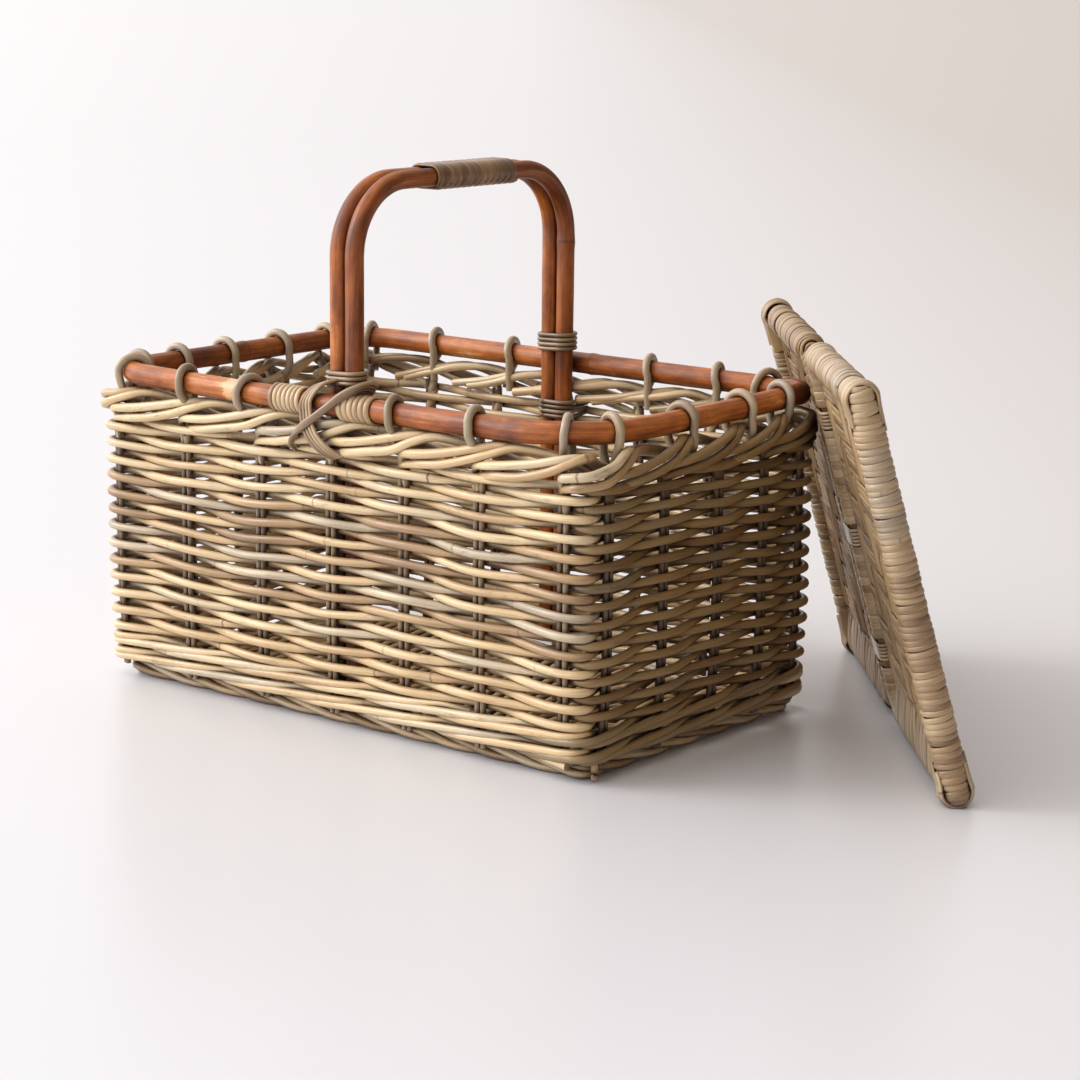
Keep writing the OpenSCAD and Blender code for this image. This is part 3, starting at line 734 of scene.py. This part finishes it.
rim_pole().make("rim", "stained_pole", POLE, "rim_pole")
for side, places, gap, slant in (("front", (-144, -79, 59, 132), FRONT_GAP, (-7, 6, -11, -7)),
                                 ("back", (-137, -58, 77, 140), FRONT_GAP, (-12,) * 4),
                                 ("left", (-69, -19, 40), END_GAP, (-2,) * 3),
                                 ("right", (-22, 47), END_GAP, (0, 0))):
    rim_loops(with_slant(beside(side, places), slant), gap).make(
        f"{side}_loops", "loop_cane", LOOP, f"{side}_rim_loops")
rim_loops(with_slant([corner_distance(*c) for c in CORNER_PLACES], CORNER_SLANTS), CORNER_GAP).make(
    "corner_loops", "loop_cane", LOOP, "corner_rim_loops")


# ---------- handle ----------

left_low, left_high = box_mm("handle_pole_left")
HANDLE_D = left_high[0] - left_low[0]
HALF_GAP = -(left_low[0] + left_high[0]) / 2       # pole centre to the handle's middle plane
HALF_SPAN = left_high[1] - HANDLE_D / 2
HANDLE_TOP = left_high[2] - HANDLE_D / 2
HANDLE_FOOT = left_low[2]
HANDLE_R = 52.0
ABOVE_RIM = RIM_Z + RIM_D / 2 + 2.6      # the lowest turn round the legs


def handle_line(x):
    """One bent pole, from its front foot over to its back foot."""
    inner, straight = HALF_SPAN - HANDLE_R, HANDLE_TOP - HANDLE_R
    bend = np.radians(np.linspace(0, 90, 24))
    front = columns(-inner - HANDLE_R * np.cos(bend), straight + HANDLE_R * np.sin(bend))
    back = front[::-1] * [-1, 1]
    yz = np.vstack([[-HALF_SPAN, HANDLE_FOOT], front, back, [HALF_SPAN, HANDLE_FOOT]])
    return even_line(columns(x, yz))


for hand, name in ((-1, "left"), (1, "right")):
    pole = Strands()
    line = handle_line(hand * HALF_GAP)
    line[:, 0] += 0.25 * hand * np.sin(line[:, 2] / 40)
    # painted shade: the right pole, turned away from the window, gets a darker tone than the left
    pole.add(line, HANDLE_D, normal=(1, 0, 0), tone=0.4 - 0.07 * hand, sides=24, knots=0.6)
    pole.make(f"handle_{name}", "stained_pole", POLE, f"handle_pole_{name}")


def pair_ring(radius, angle):
    """Long-round ring round the two handle poles: x across them, the second axis, and the
    outward normal's two parts."""
    straight, half_turn = 2 * HALF_GAP, math.pi * radius
    corners = np.cumsum([0, straight, half_turn, straight, half_turn])
    u = np.mod(angle / (2 * np.pi), 1) * corners[-1]
    centre = np.interp(u, corners, [HALF_GAP, -HALF_GAP, -HALF_GAP, HALF_GAP, HALF_GAP])
    turned = np.pi * np.interp(u, corners, [0.5, 0.5, 1.5, 1.5, 2.5])
    nx, ny = np.cos(turned), np.sin(turned)
    return centre + radius * nx, radius * ny, nx, ny


def grip_turns():
    """Flat strip wound round both handle poles."""
    low, high = box_mm("grip_binding")
    strips = Strands()
    turns = 13
    pitch = (high[1] - low[1]) / turns
    radius = HANDLE_D / 2 + 1.3
    share = np.linspace(0, 1, 49)
    x, z, nx, nz = pair_ring(radius, 2 * np.pi * share - np.pi / 2)
    normal = columns(nx, 0, nz)
    for k in range(turns):
        y = low[1] + pitch * (k + share * 0.9 + 0.05 + rng.uniform(-0.03, 0.03))
        line = columns(x, y, HANDLE_TOP + z)
        strips.add(line, pitch * 1.02, 2.6, normal=normal, sides=14, square=2.3, knots=0,
                   tone=rng.uniform(0.0, 0.36))
    return strips


def pair_turns(centre_y, low_z, turns, pitch, d=3.3):
    """Round strand wound round the two legs of the handle, low_z and up."""
    canes = Strands()
    radius = HANDLE_D / 2 + d / 2
    share = np.linspace(0, turns, turns * 48 + 1)
    x, y, nx, ny = pair_ring(radius, 2 * np.pi * share + 0.4)
    line = columns(x, centre_y + y, low_z + pitch * share)
    canes.add(line, d, normal=columns(nx, ny, 0), knots=0,
              tone=0.35 + 0.3 * np.sin(share * 5))
    return canes


def rim_coil(x0, x1, pitch):
    """Strip wound round the front of the rim pole, at about this pitch."""
    strips = Strands()
    turns = round((x1 - x0) / pitch)
    pitch = (x1 - x0) / turns
    radius = RIM_D / 2 + 0.9
    share = np.linspace(0, 1, 37)
    angle = 2 * np.pi * share - 0.9
    for k in range(turns):
        x = x0 + pitch * (k + share * 0.95)
        y, z = radius * np.cos(angle), radius * np.sin(angle)
        centre = rim_height(columns(x, -RIM_Y))
        line = columns(x, y - RIM_Y, centre + z)
        normal = columns(0, y, z)
        strips.add(line, pitch, 3.0, normal=normal, sides=12, knots=0, tone=rng.uniform(0.35, 0.95))
    return strips


def cross_lashing():
    """Two bands of strands that cross over the rim and the border at the front legs,
    and the turns round the legs."""
    canes = pair_turns(-HALF_SPAN, ABOVE_RIM, 3, 3.4)
    front = -RIM_Y
    down = [(-4, 11, 249), (-7, 4, 248), (-10, -5, 245), (-13.5, -11, 236), (-12.5, -12, 227),
            (-8.5, -14.5, 218.5), (-1, -15.5, 210), (7, -13, 203), (11, -5, 198)]
    across = [(33, 10, 246), (31, 4, 248.4), (26, -5, 246.4), (17, -11, 241), (6, -14, 232),
              (-6, -16.5, 223), (-18, -16.5, 215), (-25, -12, 208), (-28, -4, 202)]
    for points, spread, tone in ((down, (2.9, 0.0, 0.9), 0.75), (across, (2.0, 0.0, 2.4), 0.5)):
        for k in (-1.5, -0.5, 0.5, 1.5):
            line = smooth_line([(x + k * spread[0], front + y, z + k * spread[2])
                                for x, y, z in points], 1.5)
            canes.add(line, 3.0, normal=(1, 0, 0.3), knots=0,
                      tone=tone + 0.12 * k + rng.uniform(-0.1, 0.1))
    return canes


def back_lower_turns():
    """Turns that hold the back legs to the wall and go into the weave."""
    canes = Strands()
    radius = HANDLE_D / 2 + 1.8
    wall = half_wall[1]
    for k in range(4):
        z = 196 + 3.6 * k
        x, y, _, _ = pair_ring(radius, np.linspace(np.pi * 0.98, 2 * np.pi * 1.02, 40))
        keep = y < 4
        arc = columns(x[keep], HALF_SPAN + y[keep], z)
        arc = arc[np.argsort(np.arctan2(arc[:, 1] - HALF_SPAN - 4, arc[:, 0]))]
        start, end = arc[0], arc[-1]
        line = np.vstack([[start[0] - 1.5, wall + 3, z - 1], arc, [end[0] + 1.5, wall + 3, z + 1.5]])
        canes.add(smooth_line(line, 2), 3.2, knots=0, tone=rng.uniform(0.1, 0.7))
    return canes


grip_turns().make("grip_strips", "binding_strip", STRIP, "grip_binding")
left_coil, right_coil = box_mm("front_rim_binding_left"), box_mm("front_rim_binding_right")
rim_coil(left_coil[0][0] + 1, left_coil[1][0] + 4, 4.6).make(
    "front_coil_left", "binding_strip", STRIP, "front_rim_binding_left")
rim_coil(right_coil[0][0], right_coil[1][0] - 5, 4.9).make(
    "front_coil_right", "binding_strip", STRIP, "front_rim_binding_right")
cross_lashing().make("front_lashing", "lashing_cane", LASHING, "front_cross_lashing")
pair_turns(HALF_SPAN, ABOVE_RIM, 4, 3.5).make(
    "back_upper_turns", "lashing_cane", LASHING, "back_upper_lashing")
back_lower_turns().make("back_lower_turns", "lashing_cane", LASHING, "back_lower_lashing")


# ---------- lid ----------

fold = next(j for j in frame["joints"] if j["name"] == "lid_fold")
LID_UP = unit(fold["axis"])
LID_LONG = unit(np.cross(LID_UP, UP))
LID_OUT = np.cross(LID_LONG, LID_UP)
EDGE_D, MIDDLE_D, LID_POLE_D = 22.0, 18.0, 12.0
MIDDLE_S = MIDDLE_D / 2 + 0.3            # hinge pole centre to the lid's middle
LID_L, LID_W = 440.0, 291.0
FOLD_UP = 145.5                          # the fold point's height on the lid
LID_R = 22.0                             # bend of the frame pole
END_X = LID_L / 2 - EDGE_D / 2
LOW_Y, HIGH_Y = EDGE_D / 2, LID_W - EDGE_D / 2
HINGES = (58.0, 145.5, 233.0)
HINGE_BAND = 14.0
lid_origin = np.array(fold["pos_m"]) / MM - MIDDLE_S * LID_LONG - FOLD_UP * LID_UP


def on_lid(hand, x, y, out):
    """Point of a flap: x from the lid's middle towards the flap's end, y up from the lower
    edge, out through the thickness away from the basket. hand is -1 near, +1 far."""
    x, y, out = (np.asarray(v, float)[..., None] for v in np.broadcast_arrays(x, y, out))
    return lid_origin + hand * x * LID_LONG + y * LID_UP + out * LID_OUT


def lid_vector(hand, x, y, out):
    return on_lid(hand, x, y, out) - lid_origin


def wrap_turn(strips, hand, centre, direction, radius, wide, thick, tilt, tone, wave=0.0, square=2.4):
    """One turn of flat strip round a frame pole at centre, which runs along direction.
    It starts and ends on the inner side of the frame. tilt lays one edge over the next turn."""
    dx, dy = direction
    angle = np.linspace(0, 2 * np.pi, 33)[:-1] + np.pi
    across = np.array([dy, -dx])
    skew = wave * np.sin(angle)
    c, s = np.cos(angle), np.sin(angle)
    x = centre[0] + across[0] * radius * c + dx * skew
    y = centre[1] + across[1] * radius * c + dy * skew
    line = on_lid(hand, x, y, radius * s)
    normal = lid_vector(hand, across[0] * c, across[1] * c, s)
    strips.add(line, wide, thick, normal=normal, sides=14, square=square, knots=0, tone=tone,
               lean=tilt, closed=True)


# Each arch: place past END_X, radius, width, length of its legs, and how far they sink in
ARCHES = ((-8, 10.6, 11.0, 30, 6.0), (-2, 11.2, 8.0, 24, 1.6), (3, 10.3, 6.0, 18, 0.8))


def corner_arches(strips, hand, y, up):
    """The last strips of a long edge, bent over the end of the end roll, their legs laid down
    along both its faces. up is 1 at the upper edge and -1 at the lower one."""
    turn = np.radians(np.linspace(0, 180, 13))
    for past_end, radius, wide, leg, lift in ARCHES:
        out = np.concatenate([[radius - lift, radius - 0.75 * lift], radius * np.cos(turn),
                              [0.75 * lift - radius, lift - radius]])
        above = np.concatenate([[-leg, -0.45 * leg], radius * np.sin(turn), [-0.4 * leg, -0.9 * leg]])
        along = END_X + past_end + 0.12 * np.minimum(above, 0)
        path = smooth_line(columns(along, above, out), 2)
        line = on_lid(hand, path[:, 0], y + up * path[:, 1], path[:, 2])
        on_leg = np.clip(-path[:, 1] / 10, 0, 1)
        normal = lid_vector(hand, on_leg * (path[:, 0] - END_X), up * np.maximum(path[:, 1], 0),
                            path[:, 2])
        strips.add(line, wide, 3.0, normal=normal, sides=14, knots=0,
                   tone=rng.uniform(0.3, 0.8))


def top_edge_wrap(hand):
    """Broad irregular turns along the upper long edge of a flap."""
    strips = Strands()
    start = MIDDLE_S + LID_R - 18
    x = start
    while x < END_X - 14:
        wide = rng.uniform(8, 15) if x > start + 16 else 5.0
        dome = math.sqrt(1 - min(1, max(0, (start + 14 - x) / 15)) ** 2)
        radius = 1.6 + (EDGE_D / 2 - 3.0 + rng.uniform(-0.6, 0.5)) * dome
        wrap_turn(strips, hand, (x, HIGH_Y), (1, 0), radius, wide, 2.6,
                  rng.uniform(0.04, 0.16), rng.uniform(0.2, 0.95), rng.uniform(-2.5, 2.5) * dome,
                  square=2.2)
        x += wide * rng.uniform(0.6, 0.82)
    corner_arches(strips, hand, HIGH_Y, 1)
    return strips


def bottom_edge_wrap(hand):
    """Flat strands of the plait, folded up round the lower pole side by side."""
    strips = Strands()
    x = MIDDLE_S + LID_R - 8
    half_turn = np.radians(np.linspace(0, -180, 15))
    while x < END_X - 10:
        wide = rng.uniform(4.6, 6.4)
        radius = LID_POLE_D / 2 + 1.8 + rng.uniform(-0.2, 0.5)
        reach = rng.uniform(24, 32)
        lean = rng.uniform(-1, 1)
        out = np.concatenate([[1.0, 5.6], radius * np.cos(half_turn), [-5.6, -1.0]])
        y = LOW_Y + np.concatenate([[reach, 0.45 * reach], radius * np.sin(half_turn),
                                    [0.45 * reach, reach]])
        along = x + lean * (y - LOW_Y) / reach
        line = on_lid(hand, along, y, out)
        strips.add(smooth_line(line, 2.5), wide, 2.0, normal=LID_LONG, square=2.4, knots=0,
                   tone=rng.uniform(0.1, 0.95), lean=math.pi / 2)
        x += wide * rng.uniform(0.86, 0.98)
    corner_arches(strips, hand, LOW_Y, -1)
    return strips


def end_wrap(hand):
    """Fine round turns along the short outer edge, up into the last turns of the long edges."""
    strips = Strands()
    dome = 9.0                            # how far the rounded ends run past the long edges
    tone, y = 0.5, LOW_Y - dome
    while y < HIGH_Y + dome:
        beyond = max(LOW_Y - y, y - HIGH_Y, 0)
        slim = 1 - float(ease(min(y - LOW_Y, HIGH_Y - y) / 30))
        bow = 1.6 * math.sin(math.pi * (y - LOW_Y) / (HIGH_Y - LOW_Y)) + 0.6 * math.sin(y / 17)
        wide = rng.uniform(4.0, 6.2)
        tone = float(np.clip(tone + rng.normal(0, 0.16), 0.15, 0.85))
        radius = EDGE_D / 2 - 1.8 - slim + rng.uniform(-0.35, 0.35)
        radius *= math.sqrt(1 - (beyond / (dome + 1.2)) ** 2)
        wrap_turn(strips, hand, (END_X - bow, y), (0, 1), radius, wide, 2.8,
                  rng.uniform(0.0, 0.08), tone, rng.uniform(-0.8, 0.8), square=2.0)
        y += wide * rng.uniform(0.8, 0.92) * (0.6 if beyond else 1.0)
    return strips


def middle_wrap(hand):
    """Fine turns along the hinge side and round its two bends, open at the hinge turns."""
    strips = Strands()
    radius = MIDDLE_D / 2 - 1.2
    half_gap = HINGE_BAND / 2 + 3.0
    y = LOW_Y + LID_R - 2
    while y < HIGH_Y - LID_R + 2:
        if min(abs(y - h) for h in HINGES) > half_gap:
            wrap_turn(strips, hand, (MIDDLE_S, y), (0, 1), radius, 6.4, 1.8,
                      rng.uniform(0.02, 0.08), rng.uniform(0.1, 0.95))
        y += 5.8
    for centre_y, first in ((HIGH_Y - LID_R, 90), (LOW_Y + LID_R, 180)):
        for turn in np.radians(first + 90 * (np.arange(7) + 0.5) / 7):
            place = (MIDDLE_S + LID_R + LID_R * math.cos(turn), centre_y + LID_R * math.sin(turn))
            wrap_turn(strips, hand, place, (-math.sin(turn), math.cos(turn)), radius, 7.5, 2.0,
                      rng.uniform(0.03, 0.08), rng.uniform(0.1, 0.9))
    return strips


BAND = 24.0
BAND_STRANDS = 5


def plaited_panel(hand):
    """Twill of five-strand bands, over two and under two."""
    strips = Strands()
    x0, x1 = MIDDLE_S + MIDDLE_D / 2 - 2, END_X - EDGE_D / 2 + 5
    y0, y1 = LOW_Y + EDGE_D / 2 - 5, HIGH_Y - EDGE_D / 2 + 5
    nx, ny = round((x1 - x0) / BAND), round((y1 - y0) / BAND)
    bx, by = (x1 - x0) / nx, (y1 - y0) / ny
    rise = 2.0

    def side_of(i, j):
        return 1.0 if (i + j) % 4 < 2 else -1.0

    for along_x, count, crossings, size, cross_size in ((True, ny, nx, by, bx), (False, nx, ny, bx, by)):
        for band in range(count):
            for strand in range(BAND_STRANDS):
                length = (x1 - x0) if along_x else (y1 - y0)
                u = np.linspace(0, length, int(length / 3))
                index = u / cross_size - 0.5
                sign = np.array([side_of(i, band) if along_x else -side_of(band, i)
                                 for i in range(-1, crossings + 1)])
                low = np.clip(np.floor(index).astype(int), -1, crossings - 1)
                share = ease((index - low - 0.28) / 0.44)
                out = rise * (sign[low + 1] * (1 - share) + sign[low + 2] * share)
                v = (band + (strand + 0.5) / BAND_STRANDS) * size + rng.normal(0, 0.12)
                out = out + rng.normal(0, 0.12)
                if along_x:
                    line = on_lid(hand, x0 + u, y0 + v, out)
                else:
                    line = on_lid(hand, x0 + v, y0 + u, out)
                strips.add(line, size / BAND_STRANDS * 0.97, 1.9, normal=LID_OUT, sides=8, square=2.6,
                           knots=0, tone=rng.uniform(0.05, 0.98))
    return strips


def hinge_rings():
    """Cane turns that hold the two middle poles together, free to turn on the far one."""
    canes = Strands()
    d = 2.5
    radius = LID_POLE_D / 2 + d / 2 + 0.15
    turn = np.linspace(0, 2 * np.pi, 64, endpoint=False)
    x = np.clip(np.cos(turn) * 40, -MIDDLE_S, MIDDLE_S) + radius * np.cos(turn)
    out = radius * np.sin(turn) / np.maximum(np.abs(np.sin(turn)), 0.001) ** 0.35
    out = np.clip(out, -radius, radius)
    for h in HINGES:
        for k in range(5):
            line = on_lid(1, x, h + (k - 2) * d * 1.06, out)
            canes.add(line, d, normal=LID_UP, sides=8, closed=True, knots=0, tone=rng.uniform(0.2, 0.9))
    return canes


for hand, name in ((-1, "near"), (1, "far")):
    body = f"{name}_flap"
    # the far flap takes the copies with painted shade
    wrap, plait = (LID_WRAP, LID_PLAIT) if name == "near" else (FAR_WRAP_PAINTED_SHADE, FAR_PLAIT_PAINTED_SHADE)
    for build, part, slot, look in (
            (top_edge_wrap, "top_wrap", "lid_wrap", wrap),
            (bottom_edge_wrap, "bottom_wrap", "lid_wrap", wrap),
            (end_wrap, "end_wrap", "lid_wrap", wrap),
            (middle_wrap, "middle_wrap", "lid_wrap", wrap),
            (plaited_panel, "panel", "lid_plait", plait)):
        build(hand).make(f"{body}_{part}_strips", slot, look, f"{body}_{part}", body=body)
hinge_rings().make("hinge_cane_turns", "lid_wrap", LID_WRAP, "hinge_turns", body="near_flap")
for name in ("near_flap_pole", "far_flap_pole"):
    pole = frame["nodes"][name]
    pole.data.materials.clear()
    pole.data.materials.append(LID_POLE)


# ---------- stage ----------

WORLD_BRIGHT = 2.9
WORLD_DIM = 0.085                # share of the bright side's light
SUN_ENERGY = 1.1
TO_WINDOW = (-0.83, -0.52, 0.60)
TO_DIM_SIDE = (0.84, 0.50, -0.2)
FLOOR_PAINTED_SHADE_WAY = (0.78, 0.63, 0.0)   # painted shade: the floor's colour darkens this way, away from the window
CAMERA_PLACE = (1.3407, -1.5674, 0.5520)
YAW, PITCH, ROLL = -38.80, 11.94, 0.643
LENS = 94.2


def floor_look():
    """Pale studio floor with painted shade: its colour is a little darker away from the window."""
    look = Look("floor_paint")
    away = look.dot(look.node("TexCoord", output="Object"), FLOOR_PAINTED_SHADE_WAY)
    # painted shade: the base colour fades from the near colour to the darker far one
    colour = look.mix(look.remap(away, 0.0, 1.3), srgb(227, 229, 234), srgb(207, 202, 198))
    look.put(look.shader.inputs["Base Color"], colour)
    look.shader.inputs["Roughness"].default_value = 0.3
    return look.material


def make_floor():
    """Wide round floor."""
    radius, sides = 30.0, 96
    turn = np.linspace(0, 2 * np.pi, sides, endpoint=False)
    edge = columns(radius * np.cos(turn), radius * np.sin(turn), 0)
    mesh = bpy.data.meshes.new("floor")
    mesh.from_pydata(edge.tolist(), [], [list(range(sides))])
    mesh.materials.append(floor_look())
    floor = bpy.data.objects.new("floor", mesh)
    bpy.context.scene.collection.objects.link(floor)


def set_up(name, data, right, up, back, place=(0, 0, 0)):
    """A camera or lamp with these directions as its own right, up and back."""
    thing = bpy.data.objects.new(name, data)
    matrix = np.eye(4)
    matrix[:3] = columns(right, up, back, place)
    thing.matrix_world = Matrix(matrix.tolist())
    bpy.context.scene.collection.objects.link(thing)
    return thing


def make_camera():
    """Level heading and pitch, then a small roll."""
    yaw, pitch, roll = (math.radians(a) for a in (YAW, PITCH, ROLL))
    right = np.array([math.cos(yaw), -math.sin(yaw), 0])
    forward = np.array([math.sin(yaw) * math.cos(pitch), math.cos(yaw) * math.cos(pitch),
                        -math.sin(pitch)])
    up = np.cross(right, forward)
    right, up = (math.cos(roll) * right + math.sin(roll) * up,
                 math.cos(roll) * up - math.sin(roll) * right)
    data = bpy.data.cameras.new("camera")
    data.lens, data.sensor_width = LENS, 36.0
    data.clip_start, data.clip_end = 0.05, 100
    bpy.context.scene.camera = set_up("camera", data, right, up, -forward, CAMERA_PLACE)


def make_world():
    """Bright window side on the left and front, dim room on the right."""
    world = bpy.data.worlds.new("room")
    world.use_nodes = True
    room = Nodes(world.node_tree)
    toward_dim = room.dot(room.node("TexCoord", output="Generated"), TO_DIM_SIDE)
    lobe = room.math("POWER", room.remap(toward_dim, -1.0, 1.0, 1.0, 0.0), 2.6)
    dim = [WORLD_DIM * c for c in srgb(242, 214, 186)]
    background = world.node_tree.nodes["Background"]
    room.put(background.inputs["Color"], room.mix(lobe, dim, srgb(250, 248, 249)))
    background.inputs["Strength"].default_value = WORLD_BRIGHT
    bpy.context.scene.world = world
    bpy.context.scene.view_settings.view_transform = "Standard"


def make_window():
    """Soft light from the left front."""
    sun = bpy.data.lights.new("window", "SUN")
    sun.energy = SUN_ENERGY
    sun.angle = math.radians(28)
    sun.color = (1.0, 0.97, 0.93)
    toward = unit(np.array(TO_WINDOW))
    right = unit(np.cross(UP, toward))
    set_up("window", sun, right, np.cross(toward, right), toward)


make_world()
make_window()
make_floor()
make_camera()
